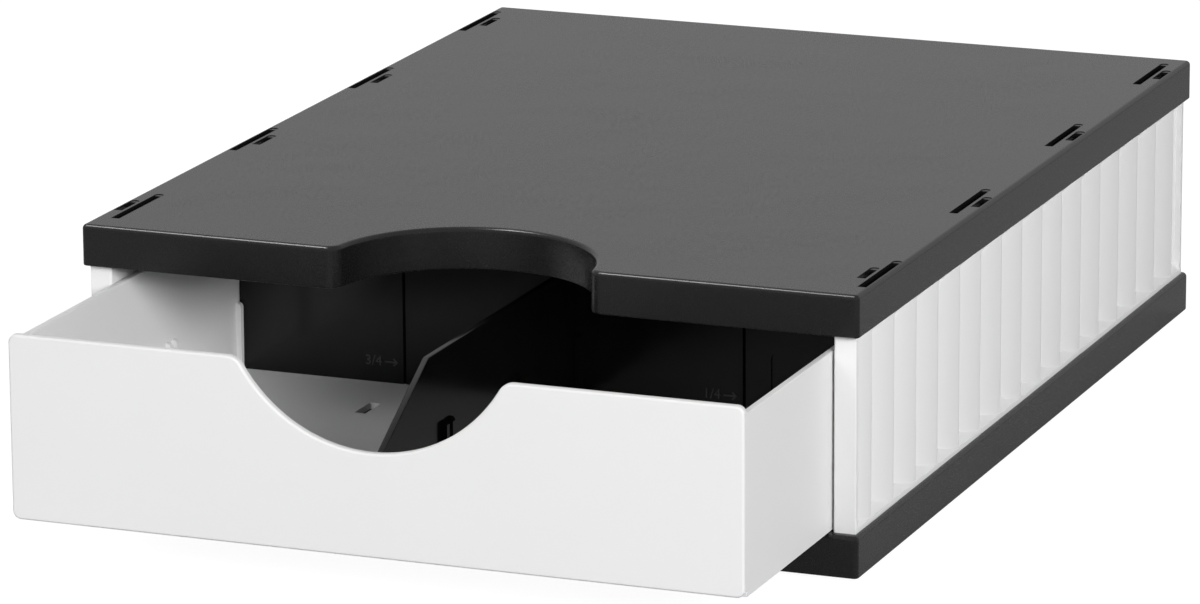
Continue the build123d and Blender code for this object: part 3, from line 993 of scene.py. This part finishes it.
class TRAY_OT_divider_marks(bpy.types.Operator):
    """Puts raised figures and arrows beside the cross divider's snap grooves"""
    bl_idname = "tray.divider_marks"
    bl_label = "Divider marks"

    def execute(self, context):
        sizes, tray = context.scene.tray_dividers, context.scene.tray_drawer
        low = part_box("cross_divider")[0]
        face, up = low.y + tray.guide_proud, low.z + sizes.mark_up
        tall, proud = sizes.mark_height, sizes.mark_proud
        quarter = quarter_width(tray)
        marks = []
        for groove, text in ((-quarter, "3/4"), (quarter, "1/4")):
            tip = groove - sizes.mark_tip
            marks.append(arrow(sizes.arrow_length, sizes.arrow_stroke, tall, proud, tip, up, face))
            marks.append(figures(text, tall, proud, tip - sizes.figures_end, up, face))
        signs = face_outwards(joined(marks))
        finish(signs, "divider_marks", DRAWER, "divider_plastic", "matt marks")
        return {"FINISHED"}


class TRAY_OT_length_divider(bpy.types.Operator):
    """Models the lengthwise divider with its sloped front end, guides and floor tab"""
    bl_idname = "tray.length_divider"
    bl_label = "Lengthwise divider"

    def execute(self, context):
        sizes, tray = context.scene.tray_dividers, context.scene.tray_drawer
        low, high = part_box("length_divider")
        drawer_low, drawer_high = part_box("drawer_tray")
        foot = drawer_low.z + tray.floor_top
        tall = high.z - foot
        slope = drawer_low.y + sizes.slope_start - low.y
        size = high.y - low.y
        moves = [(size, 0), (0, tall), (slope - size, 0), (-slope, sizes.slope_low - tall)]
        sheet = trace((low.y, foot), moves, sizes.thickness)
        half = sizes.thickness / 2
        place(sheet, (-half, 0, 0), (QUARTER_TURN, 0, QUARTER_TURN))
        round_edges(sheet, lambda a, b: abs(a.x - b.x) < TINY and min(a.z, b.z) > foot + TINY, sizes.edge, 3)
        step = (drawer_high.y - drawer_low.y - tray.front - tray.wall) / tray.cells
        parts = []
        for cell in range(1, tray.cells // 2):
            y = drawer_low.y + tray.front + cell * step
            parts += guide_pair(tray, sizes, half, y, foot, 0)
            parts += guide_pair(tray, sizes, -half, y, foot, math.pi)
        tab = tray.slot_length / 2 - sizes.tab_fit
        spot = drawer_low.y + tray.slot_place
        parts.append(bar(0, spot, half, tab, low.z, foot + OVERLAP))
        add(sheet, parts)
        finish(sheet, "length_wall", DRAWER, "divider_plastic", "black dividers", "length_divider")
        return {"FINISHED"}


# Stage, with turns in radians and the lens and sensor in millimetres
CAMERA_PLACE = Vector((0.7470, -1.9080, 0.5758))
CAMERA_YAW = 0.37682
CAMERA_PITCH = 0.25525
CAMERA_ROLL = -0.00552
CAMERA_LENS = 203.4
CAMERA_SENSOR = 36.0
CAMERA_RANGE = (0.05, 100.0)
WHITE = (1, 1, 1, 1)
SHADOW_GREY = (0.16, 0.16, 0.16, 1)
LOW_SKY, HIGH_SKY = 0.1, 0.9


def white_share(paint, in_gloss):
    """How far a ray sees the plain white background: all the way from the camera, partly in gloss."""
    camera = paint.node("ShaderNodeLightPath", output="Is Camera Ray")
    glass = paint.node("ShaderNodeLightPath", output="Is Transmission Ray")
    gloss = paint.node("ShaderNodeLightPath", output="Is Glossy Ray")
    return camera.most(glass).most(gloss * in_gloss)


def studio_world(sizes):
    """Soft light from all round, brightest at the horizon and dimmer overhead."""
    world = bpy.data.worlds.new("studio")
    paint = Paint(world)
    direction = paint.node("ShaderNodeTexCoord", output="Generated")
    up = paint.node("ShaderNodeSeparateXYZ", {}, {0: direction}, "Z")
    level = paint.node("ShaderNodeMapRange", {"interpolation_type": "SMOOTHSTEP"}, {
        "Value": up, "From Min": LOW_SKY, "From Max": HIGH_SKY,
        "To Min": sizes.horizon, "To Max": sizes.zenith})
    strength = level + (1 - level) * white_share(paint, sizes.world_gloss)
    light = paint.node("ShaderNodeBackground", {}, {"Color": WHITE, "Strength": strength})
    paint.node("ShaderNodeOutputWorld", {}, {"Surface": light})
    return world


def floor_paint(sizes):
    """A pale floor that is white to the camera and still keeps the tray's shadow."""
    paint = Paint(bpy.data.materials.new("pale floor"))
    plain = paint.node("ShaderNodeBsdfDiffuse", {}, {"Color": sizes.floor})
    shadow = paint.node("ShaderNodeBsdfDiffuse", {}, {"Color": SHADOW_GREY})
    white = paint.node("ShaderNodeEmission", {}, {"Color": WHITE, "Strength": sizes.floor_white})
    seen = paint.node("ShaderNodeAddShader", {}, {0: shadow, 1: white})
    factor = white_share(paint, sizes.floor_gloss)
    return paint.done(paint.node("ShaderNodeMixShader", {}, {0: factor, 1: plain, 2: seen}))


def soft_box(name, spot, target, size, power, edges_only=False):
    """A rectangular lamp that faces a target, and lights surfaces or only draws glints on rounded edges."""
    bpy.ops.object.light_add(type="AREA", location=spot)
    lamp = bpy.context.object
    lamp.name = name
    lamp.data.shape = "RECTANGLE"
    lamp.data.size, lamp.data.size_y = size
    lamp.data.energy = power
    lamp.visible_glossy = edges_only
    lamp.visible_diffuse = not edges_only
    lamp.rotation_euler = (Vector(target) - Vector(spot)).to_track_quat("-Z", "Y").to_euler()
    return lamp


class TRAY_OT_stage(bpy.types.Operator):
    """Makes the floor, the soft studio light and the camera"""
    bl_idname = "tray.stage"
    bl_label = "Stage"

    def execute(self, context):
        sizes = context.scene.tray_stage
        deselect()
        bpy.ops.mesh.primitive_circle_add(
            vertices=FLOOR_STEPS, radius=sizes.reach, fill_type="NGON", location=(0, 0, 0))
        floor = settle(bpy.context.object)
        floor.name = "floor"
        floor.data.materials.append(floor_paint(sizes))
        context.scene.world = studio_world(sizes)

        soft_box("front soft box", (-1.0, -2.25, 1.35), (0, -0.2, 0.05), (1.8, 1.5), sizes.front_power)
        soft_box("fill soft box", (2.1, -1.87, 1.0), (0.12, -0.1, 0.04), (1.2, 0.8), sizes.fill_power)
        soft_box("side soft box", (2.1, 1.25, 0.9), (0.12, 0.03, 0.04), (1.1, 1.0), sizes.side_power)
        soft_box("rear soft box", (-2.4, 1.2, 1.0), (-0.12, 0.03, 0.04), (1.2, 1.0), sizes.rear_power)
        soft_box("edge soft box", (-0.9, -0.6, 2.25), (0, -0.13, 0.086), (1.0, 0.5), sizes.edge_power, True)

        bpy.ops.object.camera_add(location=CAMERA_PLACE)
        camera = bpy.context.object
        camera.name = "camera"
        turn = Matrix.Rotation(CAMERA_YAW, 4, "Z") @ Matrix.Rotation(QUARTER_TURN - CAMERA_PITCH, 4, "X")
        turn = turn @ Matrix.Rotation(CAMERA_ROLL, 4, "Z")
        camera.rotation_euler = turn.to_euler()
        camera.data.sensor_width = CAMERA_SENSOR
        camera.data.lens = CAMERA_LENS
        camera.data.clip_start, camera.data.clip_end = CAMERA_RANGE
        context.scene.camera = camera
        context.scene.view_settings.view_transform = "Standard"
        return {"FINISHED"}


class TRAY_PT_sidebar(bpy.types.Panel):
    """Lists the tray's pieces in the 3D view's sidebar"""
    bl_idname = "TRAY_PT_sidebar"
    bl_label = "Desk letter tray"
    bl_space_type = "VIEW_3D"
    bl_region_type = "UI"
    bl_category = "Letter tray"

    def draw(self, context):
        for operator in OPERATORS:
            self.layout.operator(operator.bl_idname)
        for name in GROUPS:
            box = self.layout.box()
            group = getattr(context.scene, name)
            box.label(text=name.replace("tray_", "").capitalize())
            for key in group.__annotations__:
                box.prop(group, key)


GROUPS = {
    "tray_plates": PlateSizes,
    "tray_panels": PanelSizes,
    "tray_drawer": DrawerSizes,
    "tray_dividers": DividerSizes,
    "tray_finishes": Finishes,
    "tray_stage": StageSizes,
}
OPERATORS = (
    TRAY_OT_plates,
    TRAY_OT_side_panels,
    TRAY_OT_back_panel,
    TRAY_OT_feet,
    TRAY_OT_drawer,
    TRAY_OT_cross_divider,
    TRAY_OT_divider_marks,
    TRAY_OT_length_divider,
    TRAY_OT_stage,
)


def register():
    for cls in (*GROUPS.values(), *OPERATORS, TRAY_PT_sidebar):
        bpy.utils.register_class(cls)
    for name, cls in GROUPS.items():
        setattr(bpy.types.Scene, name, bpy.props.PointerProperty(type=cls))


def unregister():
    for name in GROUPS:
        delattr(bpy.types.Scene, name)
    for cls in (TRAY_PT_sidebar, *reversed(OPERATORS), *reversed(GROUPS.values())):
        bpy.utils.unregister_class(cls)


def main():
    register()
    bpy.ops.tray.plates()
    bpy.ops.tray.side_panels()
    bpy.ops.tray.back_panel()
    bpy.ops.tray.feet()
    bpy.ops.tray.drawer()
    bpy.ops.tray.cross_divider()
    bpy.ops.tray.divider_marks()
    bpy.ops.tray.length_divider()
    bpy.ops.tray.stage()


if __name__ == "__main__":
    main()
